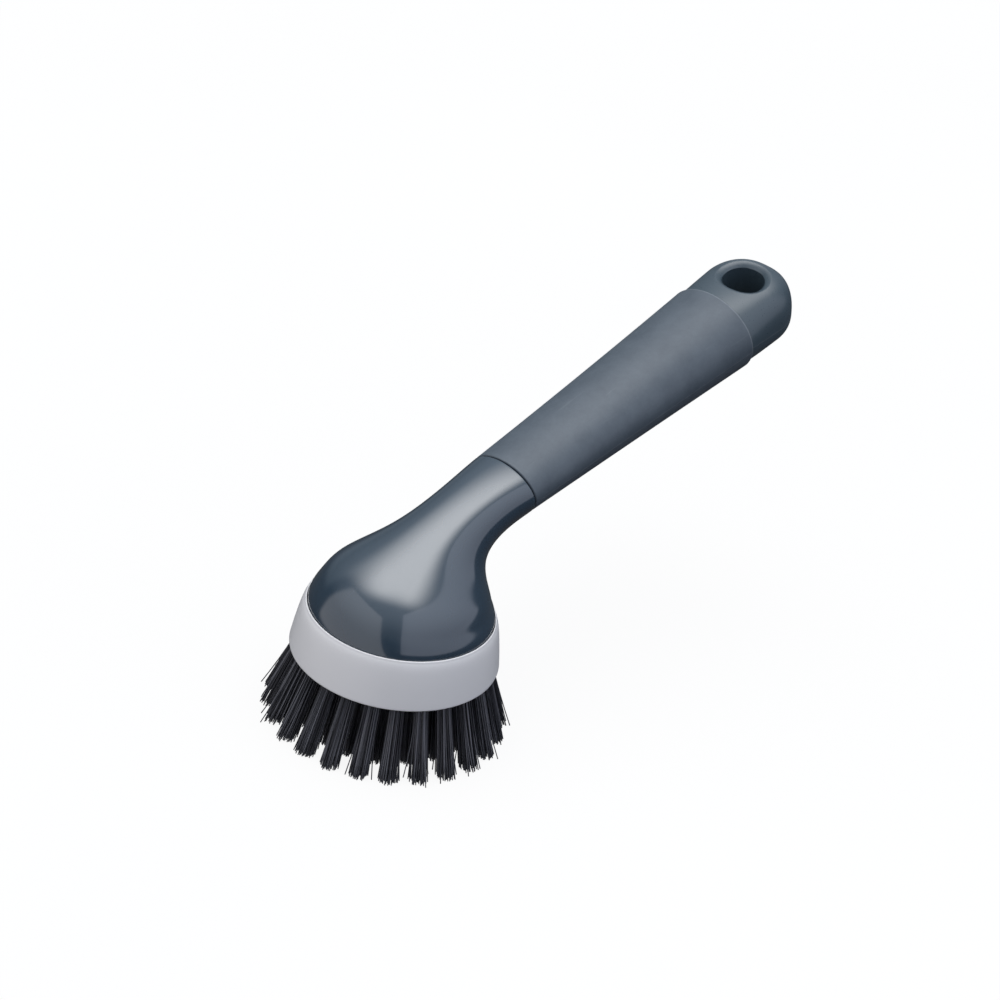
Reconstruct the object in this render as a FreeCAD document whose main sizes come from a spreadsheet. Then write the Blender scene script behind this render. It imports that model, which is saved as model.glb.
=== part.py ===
"""Dish brush: round splayed bristle head in a pale cup, glossy dome and neck, soft grip, end cap with a hanging hole.

Frame: millimetres, +Z up along the head's axis, bristle tips on the plane z = 0, origin at the middle of the tips,
handle towards +X. The brush is alike on both sides of the XZ plane.
"""
import FreeCAD, Part
import math
import os

import Sketcher

Vector = FreeCAD.Vector
Rotation = FreeCAD.Rotation
Placement = FreeCAD.Placement

# Driving dimensions in millimetres, angles in degrees.
SIZES = {
    # bristle head
    "bristle_height": 24.2,
    "plate_thickness": 9.3,
    "ring_lip_wall": 1.05,
    "ring_lip_land": 0.15,
    "ring_flare": 2.6,
    "ring_foot_bevel": 0.8,
    # dome, with the spigot that plugs into the cup
    "rim_radius": 29.9,
    "head_fit": 0.25,
    "seat_gap": 0.2,
    "spigot_depth": 7.0,
    "dome_wall": 3.0,
    "dome_cavity_rise": 12.0,
    # seam between neck and grip, measured from the middle of the rim
    "seam_reach": 42.3,
    "seam_rise": 31.4,
    "seam_half_width": 13.5,
    "seam_half_height": 9.2,
    "seam_gap": 0.5,
    # grip and the hollow core under it
    "handle_angle": 14.85,
    "grip_length": 106.2,
    "grip_end_half_width": 17.8,
    "grip_end_half_height": 14.7,
    "grip_waist": 0.3,
    "grip_swell": 0.4,
    "sleeve_wall": 2.4,
    "sleeve_fit": 0.1,
    "core_wall": 3.0,
    "core_floor": 6.0,
    # end cap
    "end_gap": 0.2,
    "end_setback": 0.8,
    "end_reach": 16.1,
    "end_radius": 17.1,
    "end_crown": 14.8,
    "end_belly": 9.6,
    "end_drop": 1.0,
    "plug_length": 14.0,
    "plug_fit": 0.15,
    "hang_bore_radius": 7.4,
    "hang_mouth_flare": 2.0,
    # tufts and their anchors
    "tuft_margin": 4.6,
    "tuft_radius": 2.2,
    "tuft_tip_radius": 2.9,
    "tuft_floor": 2.4,
    "tuft_fit": 0.1,
    "tuft_splay_angle": 17.5,
    "anchor_thickness": 0.45,
    "anchor_height": 2.2,
    "anchor_inset": 0.9,
    "anchor_fit": 0.05,
    # how far a cutting form runs past what it cuts
    "overrun": 2.0,
}

# Rows of tufts from the outside in: place and splay are shares of the outer row's.
ROW_NAMES = ("outer_tuft", "middle_tuft", "inner_tuft", "core_tuft", "centre_tuft")
ROW_COUNTS = (24, 18, 12, 6, 1)
ROW_RADIUS_SHARES = (1.0, 0.74, 0.483, 0.236, 0.0)
ROW_SPLAY_SHARES = (1.0, 0.68, 0.41, 0.19, 0.0)

# Sections of the neck between rim and seam: how far the top line and the under line have come from the rim to the
# seam, along and up, and how much of the rim's extra half width is left.
NECK_SECTION_SHARES = (
    # top along, top up, under along, under up, width left
    (0.00, 0.08, -0.01, 0.09, 0.96),
    (0.04, 0.23, -0.06, 0.18, 0.83),
    (0.14, 0.39, -0.10, 0.29, 0.65),
    (0.26, 0.51, -0.12, 0.45, 0.39),
    (0.40, 0.63, -0.04, 0.63, 0.13),
    (0.63, 0.80, 0.40, 0.84, -0.04),
    (0.86, 0.93, 0.89, 0.95, -0.03),
)
# Sections of the end cap's straight shoulder, as shares of the way from the grip to the hanging hole's axis.
END_SHOULDER_SHARES = (0.0, 0.3, 0.6, 0.85)
# Sections of the end cap's round end, from the hanging hole's axis to the tip, as shares of the end's radius.
END_SECTION_SHARES = (0.0, 0.35, 0.6, 0.8, 0.92, 0.98, 0.997)
# Exponent of the round end's sections: 2 gives an ellipse, more gives fuller shoulders.
END_FULLNESS = 2.6
# Steps along half a section of the end cap.
END_CURVE_STEPS = 12
# How closely an edge has to match the lip's width to be taken for it.
EDGE_MATCH_SHARE = 0.001
# The middle rows stand in one node: the core row and the centre tuft.
GROUPED_ROWS = ("core_tuft", "centre_tuft")

doc = FreeCAD.newDocument("dish_brush")
sheet = doc.addObject("Spreadsheet::Sheet", "Sizes")
for row, (alias, value) in enumerate(SIZES.items(), start=1):
    sheet.set(f"A{row}", str(value))
    sheet.setAlias(f"A{row}", alias)
doc.recompute()


def cell(alias):
    """Expression that reads one driving dimension."""
    return f"Sizes.{alias}"


def number(expression):
    """Value of an expression over the driving dimensions."""
    result = sheet.evalExpression(str(expression))
    return float(getattr(result, "Value", result))


def size(alias):
    """Value of one driving dimension."""
    return number(cell(alias))


PLATE_TOP = f"({cell('bristle_height')} + {cell('plate_thickness')})"
RIM_HEIGHT = f"({PLATE_TOP} + {cell('seat_gap')} + {cell('spigot_depth')})"
SEAM_HEIGHT = f"({RIM_HEIGHT} + {cell('seam_rise')})"
CUP_BORE = f"({cell('rim_radius')} + {cell('head_fit')})"
LIP_RADIUS = f"({CUP_BORE} + {cell('ring_lip_wall')})"
BASE_RADIUS = f"({LIP_RADIUS} + {cell('ring_flare')})"
TUFT_RING_RADIUS = f"({BASE_RADIUS} - {cell('tuft_margin')})"
TUFT_ROOT = f"({cell('plate_thickness')} - {cell('tuft_floor')} - {cell('tuft_fit')})"

# The handle's own frame: its axis starts at the seam's middle, x along the grip, z out of its top.
handle_frame = Placement(
    Vector(size("seam_reach"), 0, number(SEAM_HEIGHT)), Rotation(Vector(0, 1, 0), -size("handle_angle")))


def bind(thing, **expressions):
    """Ties properties of a document object to expressions over the sheet."""
    for path, expression in expressions.items():
        thing.setExpression(path.replace("__", "."), expression)


def form(name, shape, placement=None):
    """A free form whose shape was worked out from the sheet."""
    thing = doc.addObject("Part::Feature", name)
    thing.Shape = shape
    thing.Placement = placement or Placement()
    return thing


def fused(name, things):
    """Union of several document objects."""
    union = doc.addObject("Part::MultiFuse", name)
    union.Shapes = things
    return union


def cut(name, base, tool):
    """One document object less another."""
    difference = doc.addObject("Part::Cut", name)
    difference.Base = base
    difference.Tool = tool
    return difference


def half_oval(centre, side, rise):
    """Half an ellipse over a centre: its ends lie at plus and minus side, its middle at rise."""
    circle = Part.Circle(Vector(0, 0, 0), Vector(0, 0, 1), 1)
    arc = Part.ArcOfCircle(circle, 0, math.pi).toShape()
    normal = side.cross(rise)
    matrix = FreeCAD.Matrix(
        side.x, rise.x, normal.x, centre.x,
        side.y, rise.y, normal.y, centre.y,
        side.z, rise.z, normal.z, centre.z)
    return arc.transformGeometry(matrix).Edges[0]


def oval(top, under, half_width):
    """Closed section in the plane of two points and the Y axis, widest half way between the points."""
    centre = (top + under) * 0.5
    side = Vector(0, half_width, 0)
    return Part.Wire([half_oval(centre, side, top - centre), half_oval(centre, side * -1, under - centre)])


def handle_oval(station, half_width, up, down):
    """Section across the handle's own axis."""
    centre = Vector(station, 0, 0)
    side = Vector(0, half_width, 0)
    return Part.Wire([half_oval(centre, side, Vector(0, 0, up)), half_oval(centre, side * -1, Vector(0, 0, -down))])


def full_half(centre, side, rise, fullness):
    """Half a section over a centre, like half an ellipse but with fuller shoulders."""
    points = []
    for step in range(END_CURVE_STEPS + 1):
        turn = math.pi * step / END_CURVE_STEPS
        across = math.copysign(abs(math.cos(turn)) ** (2 / fullness), math.cos(turn))
        up = abs(math.sin(turn)) ** (2 / fullness) if 0 < step < END_CURVE_STEPS else 0
        points.append(centre + side * across + rise * up)
    curve = Part.BSplineCurve()
    curve.interpolate(Points=points, InitialTangent=rise, FinalTangent=rise * -1)
    return curve.toShape()


def end_section(station, half_width, up, down, level, fullness):
    """Section of the end cap across the handle's own axis, with its widest line at a level above that axis."""
    centre = Vector(station, 0, level)
    side = Vector(0, half_width, 0)
    return Part.Wire([
        full_half(centre, side, Vector(0, 0, up), fullness),
        full_half(centre, side * -1, Vector(0, 0, -down), fullness)])


def between(start, end, share):
    """Value part of the way from start to end."""
    return start + (end - start) * share


def grip_section(station, inset=0, swell=0):
    """Section of the tapered grip at a distance from the seam, drawn in by an inset and swollen underneath."""
    along = station / size("grip_length")
    half_width = between(size("seam_half_width"), size("grip_end_half_width"), along) - inset
    half_height = between(size("seam_half_height"), size("grip_end_half_height"), along) - inset
    return handle_oval(station, half_width, half_height, half_height + swell)


def neck_sections():
    """Sections from the dome's rim, which is round, to the oval seam with the grip."""
    rim = size("rim_radius")
    rim_height = number(RIM_HEIGHT)
    rim_front = Vector(-rim, 0, rim_height)
    rim_back = Vector(rim, 0, rim_height)
    seam_top = handle_frame.multVec(Vector(0, 0, size("seam_half_height")))
    seam_under = handle_frame.multVec(Vector(0, 0, -size("seam_half_height")))
    wires = [oval(rim_front, rim_back, rim)]
    for top_along, top_up, under_along, under_up, width_left in NECK_SECTION_SHARES:
        top = Vector(
            between(rim_front.x, seam_top.x, top_along), 0, between(rim_front.z, seam_top.z, top_up))
        under = Vector(
            between(rim_back.x, seam_under.x, under_along), 0, between(rim_back.z, seam_under.z, under_up))
        wires.append(oval(top, under, between(size("seam_half_width"), rim, width_left)))
    wires.append(oval(seam_top, seam_under, size("seam_half_width")))
    return wires


def build_handle_body():
    """Dome, neck and core in one moulding: hollow dome with a spigot, hollow core open at its far end."""
    neck = form("neck_form", Part.makeLoft(neck_sections(), True, False))
    spigot = doc.addObject("Part::Cylinder", "spigot_form")
    bind(spigot, Radius=cell("rim_radius"), Height=cell("spigot_depth"),
         Placement__Base__z=f"{RIM_HEIGHT} - {cell('spigot_depth')}")
    core_inset = size("sleeve_wall")
    length = size("grip_length")
    core = form("core_form", Part.makeLoft(
        [grip_section(0, core_inset), grip_section(length, core_inset)], True, True), handle_frame)

    hollow_inset = core_inset + size("core_wall")
    hollow = form("core_hollow", Part.makeLoft(
        [grip_section(size("core_floor"), hollow_inset), grip_section(length + size("overrun"), hollow_inset)],
        True, True), handle_frame)
    dome_hollow = doc.addObject("Part::Ellipsoid", "dome_hollow")
    hollow_radius = f"{cell('rim_radius')} - {cell('dome_wall')}"
    bind(dome_hollow, Radius1=cell("dome_cavity_rise"), Radius2=hollow_radius, Radius3=hollow_radius,
         Placement__Base__z=RIM_HEIGHT)
    dome_hollow.Angle1 = 0
    spigot_hollow = doc.addObject("Part::Cylinder", "spigot_hollow")
    bind(spigot_hollow, Radius=hollow_radius, Height=f"{cell('spigot_depth')} + {cell('overrun')}",
         Placement__Base__z=f"{RIM_HEIGHT} - {cell('spigot_depth')} - {cell('overrun')}")
    body = cut("handle_body", fused("handle_solid", [neck, spigot, core]),
               fused("handle_hollows", [hollow, dome_hollow, spigot_hollow]))
    body.Label = "handle_body"
    return [body]


def build_soft_grip():
    """Soft sleeve over the core, from a fine groove at the neck to the grip's far end."""
    length = size("grip_length")
    start = size("seam_gap")
    waist = grip_section((start + length) / 2, size("grip_waist"), size("grip_waist") + size("grip_swell"))
    outside = form("sleeve_outside", Part.makeLoft(
        [grip_section(start), waist, grip_section(length)], True, False), handle_frame)
    inset = size("sleeve_wall") - size("sleeve_fit")
    inside = form("sleeve_inside", Part.makeLoft(
        [grip_section(0, inset), grip_section(length + size("overrun"), inset)], True, True), handle_frame)
    sleeve = cut("soft_grip", outside, inside)
    sleeve.Label = "soft_grip"
    return [sleeve]


def crown_share(share):
    """How much of the round end's height is left at a share of its radius from the hanging hole's axis."""
    return (1 - share ** END_FULLNESS) ** (1 / END_FULLNESS)


def round_section(share):
    """Section of the end cap's round end at a share of its radius past the hanging hole's axis."""
    station = size("grip_length") + size("end_reach") + size("end_radius") * share
    return end_section(
        station, size("end_radius") * math.sqrt(1 - share ** 2), size("end_crown") * crown_share(share),
        size("end_belly") * crown_share(share), -size("end_drop"), END_FULLNESS)


def shoulder_section(share):
    """Section of the end cap's straight shoulder at a share of the way from the grip to the hanging hole's axis."""
    start_half_width = size("grip_end_half_width") - size("end_setback")
    start_half_height = size("grip_end_half_height") - size("end_setback")
    return end_section(
        size("grip_length") + between(size("end_gap"), size("end_reach"), share),
        between(start_half_width, size("end_radius"), share),
        between(start_half_height, size("end_crown"), share),
        between(start_half_height, size("end_belly"), share),
        between(0, -size("end_drop"), share), between(2, END_FULLNESS, share))


def build_end_cap():
    """Rounded end with the hanging hole, and a plug that fills the core's open end."""
    length = size("grip_length")
    sections = [shoulder_section(share) for share in END_SHOULDER_SHARES]
    sections += [round_section(share) for share in END_SECTION_SHARES]
    dome = form("cap_dome", Part.makeLoft(sections, True, False), handle_frame)
    hub = handle_frame.multiply(Placement(Vector(length + size("end_reach"), 0, -size("end_drop")), Rotation()))
    plug_inset = size("sleeve_wall") + size("core_wall") + size("plug_fit")
    plug = form("cap_plug", Part.makeLoft([
        grip_section(length - size("plug_length"), plug_inset),
        grip_section(length + size("end_setback"), plug_inset)], True, True), handle_frame)

    bore = doc.addObject("Part::Cylinder", "hang_bore")
    bind(bore, Radius=cell("hang_bore_radius"),
         Height=f"{cell('end_crown')} + {cell('end_belly')} + 2 * {cell('overrun')}")
    bore.Placement = hub.multiply(Placement(Vector(0, 0, -size("end_belly") - size("overrun")), Rotation()))
    hollows = [bore]
    for name, rise, turn in (("upper_mouth", "end_crown", 0), ("lower_mouth", "end_belly", 180)):
        mouth = doc.addObject("Part::Cone", name)
        flare = cell("hang_mouth_flare")
        bind(mouth, Radius1=cell("hang_bore_radius"), Height=f"2 * {flare}",
             Radius2=f"{cell('hang_bore_radius')} + 2 * {flare}")
        edge_share = number(f"({cell('hang_bore_radius')} + {flare}) / {cell('end_radius')}")
        mouth_level = size(rise) * crown_share(edge_share) - number(flare)
        mouth.Placement = hub.multiply(Placement(Vector(0, 0, 0), Rotation(Vector(1, 0, 0), turn))).multiply(
            Placement(Vector(0, 0, mouth_level), Rotation()))
        hollows.append(mouth)
    cap = cut("end_cap", fused("cap_solid", [dome, plug]), fused("cap_hollows", hollows))
    cap.Label = "end_cap"
    return [cap]


def origin_plane(body, role):
    """Plane of a body's own origin, found by its role."""
    return next(part for part in body.Origin.OriginFeatures if part.Role == role)


def attached_sketch(body, name, role, place=None):
    """Empty sketch on one of a body's own origin planes, moved and turned in that plane."""
    sketch = body.newObject("Sketcher::SketchObject", name)
    sketch.AttachmentSupport = [(origin_plane(body, role), "")]
    sketch.MapMode = "FlatFace"
    sketch.AttachmentOffset = place or Placement()
    return sketch


def outline(sketch, points):
    """Closed run of lines through points that are pairs of expressions, each tied to the sheet."""
    corners = [Vector(number(across), number(up), 0) for across, up in points]
    count = len(corners)
    for index in range(count):
        sketch.addGeometry(Part.LineSegment(corners[index], corners[(index + 1) % count]))
    for index in range(count):
        sketch.addConstraint(Sketcher.Constraint("Coincident", index, 2, (index + 1) % count, 1))
    for index, pair in enumerate(points):
        for kind, expression in zip(("DistanceX", "DistanceY"), pair):
            made = sketch.addConstraint(Sketcher.Constraint(kind, -1, 1, index, 1, number(expression)))
            if expression != "0":
                sketch.setExpression(f"Constraints[{made}]", expression)


def disc(sketch, across, radius):
    """Circle on the sketch's own first axis, its place and radius tied to the sheet."""
    sketch.addGeometry(Part.Circle(Vector(number(across), 0, 0), Vector(0, 0, 1), number(radius)))
    sketch.addConstraint(Sketcher.Constraint("PointOnObject", 0, 3, -1))
    place = sketch.addConstraint(Sketcher.Constraint("DistanceX", -1, 1, 0, 3, number(across)))
    sketch.setExpression(f"Constraints[{place}]", across)
    spread = sketch.addConstraint(Sketcher.Constraint("Radius", 0, number(radius)))
    sketch.setExpression(f"Constraints[{spread}]", radius)


def turned(body, kind, name, sketch):
    """Full turn of a sketch about its own upright axis."""
    feature = body.newObject(kind, name)
    feature.Profile = sketch
    feature.ReferenceAxis = (sketch, ["V_Axis"])
    feature.Angle = 360
    return feature


def row_place(index):
    """Where a tuft of a row leaves the plate: place in the XZ plane, its up axis leaning inwards by the splay."""
    radius = number(TUFT_RING_RADIUS) * ROW_RADIUS_SHARES[index]
    splay = size("tuft_splay_angle") * ROW_SPLAY_SHARES[index]
    return Placement(Vector(radius, size("bristle_height"), 0), Rotation(Vector(0, 0, 1), splay))


def build_brush_block():
    """Pale cup: tapered ring round the dome's rim, and the plate with a blind hole for each tuft."""
    body = doc.addObject("PartDesign::Body", "brush_block")
    profile = attached_sketch(body, "cup_profile", "XZ_Plane")
    foot = cell("bristle_height")
    outline(profile, [
        ("0", foot),
        (f"{BASE_RADIUS} - {cell('ring_foot_bevel')}", foot),
        (BASE_RADIUS, f"{foot} + {cell('ring_foot_bevel')}"),
        (LIP_RADIUS, RIM_HEIGHT),
        (CUP_BORE, RIM_HEIGHT),
        (CUP_BORE, PLATE_TOP),
        ("0", PLATE_TOP),
    ])
    cup = turned(body, "PartDesign::Revolution", "cup", profile)
    doc.recompute()
    lip = body.newObject("PartDesign::Fillet", "lip_round")
    lip_span = 2 * number(LIP_RADIUS)
    lip.Base = (cup, [
        f"Edge{place}" for place, edge in enumerate(cup.Shape.Edges, start=1)
        if edge.isClosed() and math.isclose(edge.BoundBox.XLength, lip_span, rel_tol=EDGE_MATCH_SHARE)])
    bind(lip, Radius=f"{cell('ring_lip_wall')} - {cell('ring_lip_land')}")

    hole_radius = f"{cell('tuft_radius')} + {cell('tuft_fit')}"
    hole_depth = f"{TUFT_ROOT} + {cell('tuft_fit')}"
    for index, (name, count) in enumerate(zip(ROW_NAMES, ROW_COUNTS)):
        section = attached_sketch(body, f"{name}_hole_section", "XZ_Plane", row_place(index))
        below = f"-{cell('overrun')}"
        outline(section, [("0", below), (hole_radius, below), (hole_radius, hole_depth), ("0", hole_depth)])
        hole = turned(body, "PartDesign::Groove", f"{name}_hole", section)
        if count > 1:
            pattern = body.newObject("PartDesign::PolarPattern", f"{name}_holes")
            pattern.Originals = [hole]
            pattern.Axis = (origin_plane(body, "Z_Axis"), [""])
            pattern.Angle = 360
            pattern.Occurrences = count
            body.Tip = pattern
    body.Label = "brush_block"
    return [body]


def tuft_body(name, index, turn):
    """Bundle of bristles: root in its hole, flared to the tips, cut level, with a slot where the anchor sits."""
    body = doc.addObject("PartDesign::Body", name)
    place = row_place(index)
    splay = f"{cell('tuft_splay_angle')} * {ROW_SPLAY_SHARES[index]}"
    reach = f"({cell('bristle_height')} / cos({splay}) + {cell('overrun')})"
    profile = attached_sketch(body, f"{name}_profile", "XZ_Plane", place)
    outline(profile, [
        ("0", TUFT_ROOT),
        ("0", f"-{reach}"),
        (cell("tuft_tip_radius"), f"-{reach}"),
        (cell("tuft_radius"), "0"),
        (cell("tuft_radius"), TUFT_ROOT),
    ])
    turned(body, "PartDesign::Revolution", f"{name}_bundle", profile)

    trim_plane = attached_sketch(body, f"{name}_trim_plane", "XY_Plane")
    tip = f"{TUFT_RING_RADIUS} * {ROW_RADIUS_SHARES[index]} + {cell('bristle_height')} * tan({splay})"
    disc(trim_plane, tip, f"2 * {cell('tuft_tip_radius')} + {cell('overrun')}")
    trim = body.newObject("PartDesign::Pocket", f"{name}_trim")
    trim.Profile = trim_plane
    trim.Type = "ThroughAll"

    slot_plane = attached_sketch(body, f"{name}_slot_plane", "XZ_Plane", place)
    half_slot = f"({cell('anchor_thickness')} / 2 + {cell('anchor_fit')})"
    slot_top = f"{TUFT_ROOT} - {cell('anchor_inset')} + {cell('anchor_fit')}"
    slot_foot = f"{TUFT_ROOT} - {cell('anchor_inset')} - {cell('anchor_height')} - {cell('anchor_fit')}"
    outline(slot_plane, [
        (f"-{half_slot}", slot_foot), (half_slot, slot_foot), (half_slot, slot_top), (f"-{half_slot}", slot_top)])
    slot = body.newObject("PartDesign::Pocket", f"{name}_slot")
    slot.Profile = slot_plane
    slot.Type = "ThroughAll"
    slot.Midplane = True
    body.Placement = Placement(Vector(0, 0, 0), Rotation(Vector(0, 0, 1), turn))
    body.Label = name
    return body


def row_turns(count):
    """Angles of a row's tufts about the head's axis, the first one at the front, away from the handle."""
    return [180 + 360 * step / count for step in range(count)]


def build_tufts():
    """All rows of tufts: one node for each, and one for the few in the middle."""
    nodes = []
    grouped = []
    for index, (row_name, count) in enumerate(zip(ROW_NAMES, ROW_COUNTS)):
        for step, turn in enumerate(row_turns(count), start=1):
            tuft = tuft_body(f"{row_name}_{step:02d}", index, turn)
            (grouped if row_name in GROUPED_ROWS else nodes).append(tuft)
    group = doc.addObject("Part::Compound", "core_tufts")
    group.Links = grouped
    group.Label = "core_tufts"
    return nodes + [group]


def build_anchors():
    """Flat metal anchors, one in the fold of each tuft."""
    plates = []
    half_width = size("tuft_radius")
    for index, (row_name, count) in enumerate(zip(ROW_NAMES, ROW_COUNTS)):
        flat = row_place(index)
        lean = size("tuft_splay_angle") * ROW_SPLAY_SHARES[index]
        stand = Placement(Vector(flat.Base.x, 0, flat.Base.y), Rotation(Vector(0, 1, 0), -lean))
        corner = Placement(Vector(
            -size("anchor_thickness") / 2, -half_width,
            number(TUFT_ROOT) - size("anchor_inset") - size("anchor_height")), Rotation())
        for step, turn in enumerate(row_turns(count), start=1):
            plate = doc.addObject("Part::Box", f"{row_name}_anchor_{step:02d}")
            bind(plate, Length=cell("anchor_thickness"), Width=f"2 * {cell('tuft_radius')}",
                 Height=cell("anchor_height"))
            about = Placement(Vector(0, 0, 0), Rotation(Vector(0, 0, 1), turn))
            plate.Placement = about.multiply(stand).multiply(corner)
            plates.append(plate)
    group = doc.addObject("Part::Compound", "tuft_anchors")
    group.Links = plates
    group.Label = "tuft_anchors"
    return [group]


def check(nodes):
    """Stops if an object failed to build or a node's shape is missing or broken."""
    doc.recompute()
    failed = [thing.Name for thing in doc.Objects if {"Invalid", "Error"} & set(thing.State)]
    if failed:
        raise RuntimeError(f"objects that failed: {failed}")
    for node in nodes:
        if node.Shape.isNull() or not node.Shape.isValid() or node.Shape.Volume <= 0:
            raise RuntimeError(f"shape of {node.Label} is not sound")
        wanted = len(node.Links) if node.TypeId == "Part::Compound" else 1
        if len(node.Shape.Solids) != wanted:
            raise RuntimeError(f"{node.Label} has {len(node.Shape.Solids)} solids in place of {wanted}")


nodes = (build_handle_body() + build_soft_grip() + build_end_cap() + build_brush_block()
         + build_tufts() + build_anchors())
check(nodes)
os.makedirs("parts", exist_ok=True)
for node in nodes:
    node.Shape.exportStep(f"parts/{node.Label}.step")
print(f"{len(nodes)} nodes,", f"volume {sum(node.Shape.Volume for node in nodes):.0f} cubic mm")
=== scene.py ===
"""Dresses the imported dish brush.

A glossy dome and neck, a soft grip sleeve, a satin end with a hanging hole, a pale cup and tufts of fine
bristles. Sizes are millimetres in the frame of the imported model: Z up along the head's axis, bristle tips on
z = 0, handle towards +X. Meshes are metres.
"""
import logging
from dataclasses import dataclass
from enum import Enum
from typing import Any, ClassVar, Mapping, Optional, Sequence

import bmesh
import bpy
import numpy as np
from mathutils import Matrix, Vector


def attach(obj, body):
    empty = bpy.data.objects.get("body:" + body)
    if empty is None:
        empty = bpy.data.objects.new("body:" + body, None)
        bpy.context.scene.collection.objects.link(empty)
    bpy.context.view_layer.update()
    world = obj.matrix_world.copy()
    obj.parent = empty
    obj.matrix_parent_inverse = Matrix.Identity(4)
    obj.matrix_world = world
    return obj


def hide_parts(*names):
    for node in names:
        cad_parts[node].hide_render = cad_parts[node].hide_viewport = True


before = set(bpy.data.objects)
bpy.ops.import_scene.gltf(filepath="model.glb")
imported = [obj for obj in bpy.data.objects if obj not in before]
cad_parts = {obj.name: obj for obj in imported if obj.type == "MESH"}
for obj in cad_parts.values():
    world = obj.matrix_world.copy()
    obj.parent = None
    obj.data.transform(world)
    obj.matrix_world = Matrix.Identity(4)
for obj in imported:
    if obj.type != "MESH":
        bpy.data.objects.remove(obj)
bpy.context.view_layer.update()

LOG = logging.getLogger("dish_brush")
Array = np.ndarray
Tuft = tuple[Array, Array, Array]
Span = tuple[float, float]
Triple = tuple[float, float, float]
Colour = Triple
Material = bpy.types.Material
Object = bpy.types.Object
Socket = bpy.types.NodeSocket

MM = 0.001
ACROSS = np.array([0.0, 1.0, 0.0])
UPRIGHT = np.array([0.0, 0.0, 1.0])
FRONT = np.array([-1.0, 0.0, 0.0])
FULL_TURN = 2 * np.pi
QUARTER_TURN = np.pi / 2
GOLDEN_ANGLE = np.pi * (3 - np.sqrt(5))
# Edges that turn by more than this stay crisp.
CRISP_TURN = np.radians(40.0)
# Points closer than this are one point.
SAME_POINT = 1e-7
# Band that most of a noise lies in.
NOISE_BAND: Span = (0.3, 0.7)
RISE: Span = (0.0, 1.0)
FALL: Span = (1.0, 0.0)
UNSTRETCHED: Triple = (1.0, 1.0, 1.0)
# Colour sockets of the mix node, which has several sockets of each name.
MIX_COLOURS, MIX_RESULT = (6, 7), 2


class Body(Enum):
    """Bodies that the pieces ride on."""

    HANDLE = "handle"
    HEAD = "head"


class Slot(Enum):
    """Material slots of the record that scene pieces take."""

    HANDLE_GLOSS = "handle_gloss"
    SOFT_GRIP = "soft_grip"
    END_SATIN = "end_satin"
    BLOCK_PALE = "block_pale"
    BRISTLE = "bristle"


class Row(Enum):
    """Rows of tufts, outermost first: node name, count, shares of the outer ring's radius and splay."""

    OUTER = ("outer_tuft", 24, 1.0, 1.0)
    MIDDLE = ("middle_tuft", 18, 0.74, 0.68)
    INNER = ("inner_tuft", 12, 0.483, 0.41)
    CORE = ("core_tuft", 6, 0.236, 0.19)
    CENTRE = ("centre_tuft", 1, 0.0, 0.0)


def quads(rows: int, columns: int, close_rows: bool) -> Array:
    """Quads of a grid whose columns join up, and whose rows join up too if asked.

    The quad at row i and column j takes the points (i, j), (i, j + 1), (i + 1, j + 1) and (i + 1, j).

    Args:
        rows: Number of rows of points.
        columns: Number of points in a row.
        close_rows: Whether the last row joins the first.

    Returns:
        One line of four point numbers for each quad.
    """
    row, column = np.meshgrid(np.arange(rows if close_rows else rows - 1), np.arange(columns), indexing="ij")
    below, beside = (row + 1) % rows, (column + 1) % columns
    start, following = row * columns, below * columns
    corners = [start + column, start + beside, following + beside, following + column]
    return np.stack(corners, axis=-1).reshape(-1, 4)


def fan(ring: Array, pole: int) -> Array:
    """Triangles from each side of a closed ring of point numbers to one pole."""
    return np.stack([np.roll(ring, -1), ring, np.full(len(ring), pole)], axis=-1)


def volume(points: Array, triangles: Array) -> float:
    """Volume inside closed triangles, a sum of tetrahedra to the origin, negative if they face inwards."""
    first, second, third = (points[triangles[:, corner]] for corner in range(3))
    return float(np.einsum("ij,ij->", first, np.cross(second, third)) / 6)


def bow(share: Array) -> Array:
    """Even curve that is 0 at the shares 0 and 1, and 1 half way."""
    return 4 * share * (1 - share)


def round_edge(radius: float, steps: int) -> tuple[Array, Array]:
    """Quarter of a round edge: distances from the end and how far the surface is drawn in there, end first.

    At the angle t the distance is radius times (1 - cos t) and the inset radius times (1 - sin t).
    """
    turn = np.linspace(0, QUARTER_TURN, steps)
    return radius * (1 - np.cos(turn)), radius * (1 - np.sin(turn))


def spline(values: Array, at: Array, first_slopes: Array) -> Array:
    """Smooth curve through evenly spaced values.

    Each span is a cubic through its end values with its end slopes. The first slope is given, the slopes
    between spans let the curvature run on, and the last two spans are one cubic.

    Args:
        values: One line of values for each knot.
        at: Places from 0 at the first knot to 1 at the last.
        first_slopes: Slopes at the first knot, per unit of place.

    Returns:
        One line of values for each place.
    """
    count = len(values)
    inner = np.arange(1, count - 1)
    matrix = np.eye(count)
    matrix[inner, inner - 1] = 1
    matrix[inner, inner] = 4
    matrix[inner, inner + 1] = 1
    matrix[-1, -3] = -1
    steps = np.diff(values, axis=0)
    wanted = np.concatenate([
        first_slopes[None] / (count - 1), 3 * (steps[1:] + steps[:-1]), 2 * (steps[-1:] - steps[-2:-1])])
    slopes = np.linalg.solve(matrix, wanted)
    place = at * (count - 1)
    span = np.clip(place.astype(int), 0, count - 2)
    part = (place - span)[:, None]
    cubic = part * part * (3 - 2 * part)
    start_bend = part * (1 - part) ** 2
    end_bend = part * part * (part - 1)
    return values[span] + steps[span] * cubic + slopes[span] * start_bend + slopes[span + 1] * end_bend


def add_object(name: str, data: bpy.types.ID) -> Object:
    """New object in the scene that shows the data.

    Args:
        name: Name of the object.
        data: Its mesh or camera.

    Returns:
        The object.
    """
    made = bpy.data.objects.new(name, data)
    bpy.context.scene.collection.objects.link(made)
    return made


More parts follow.
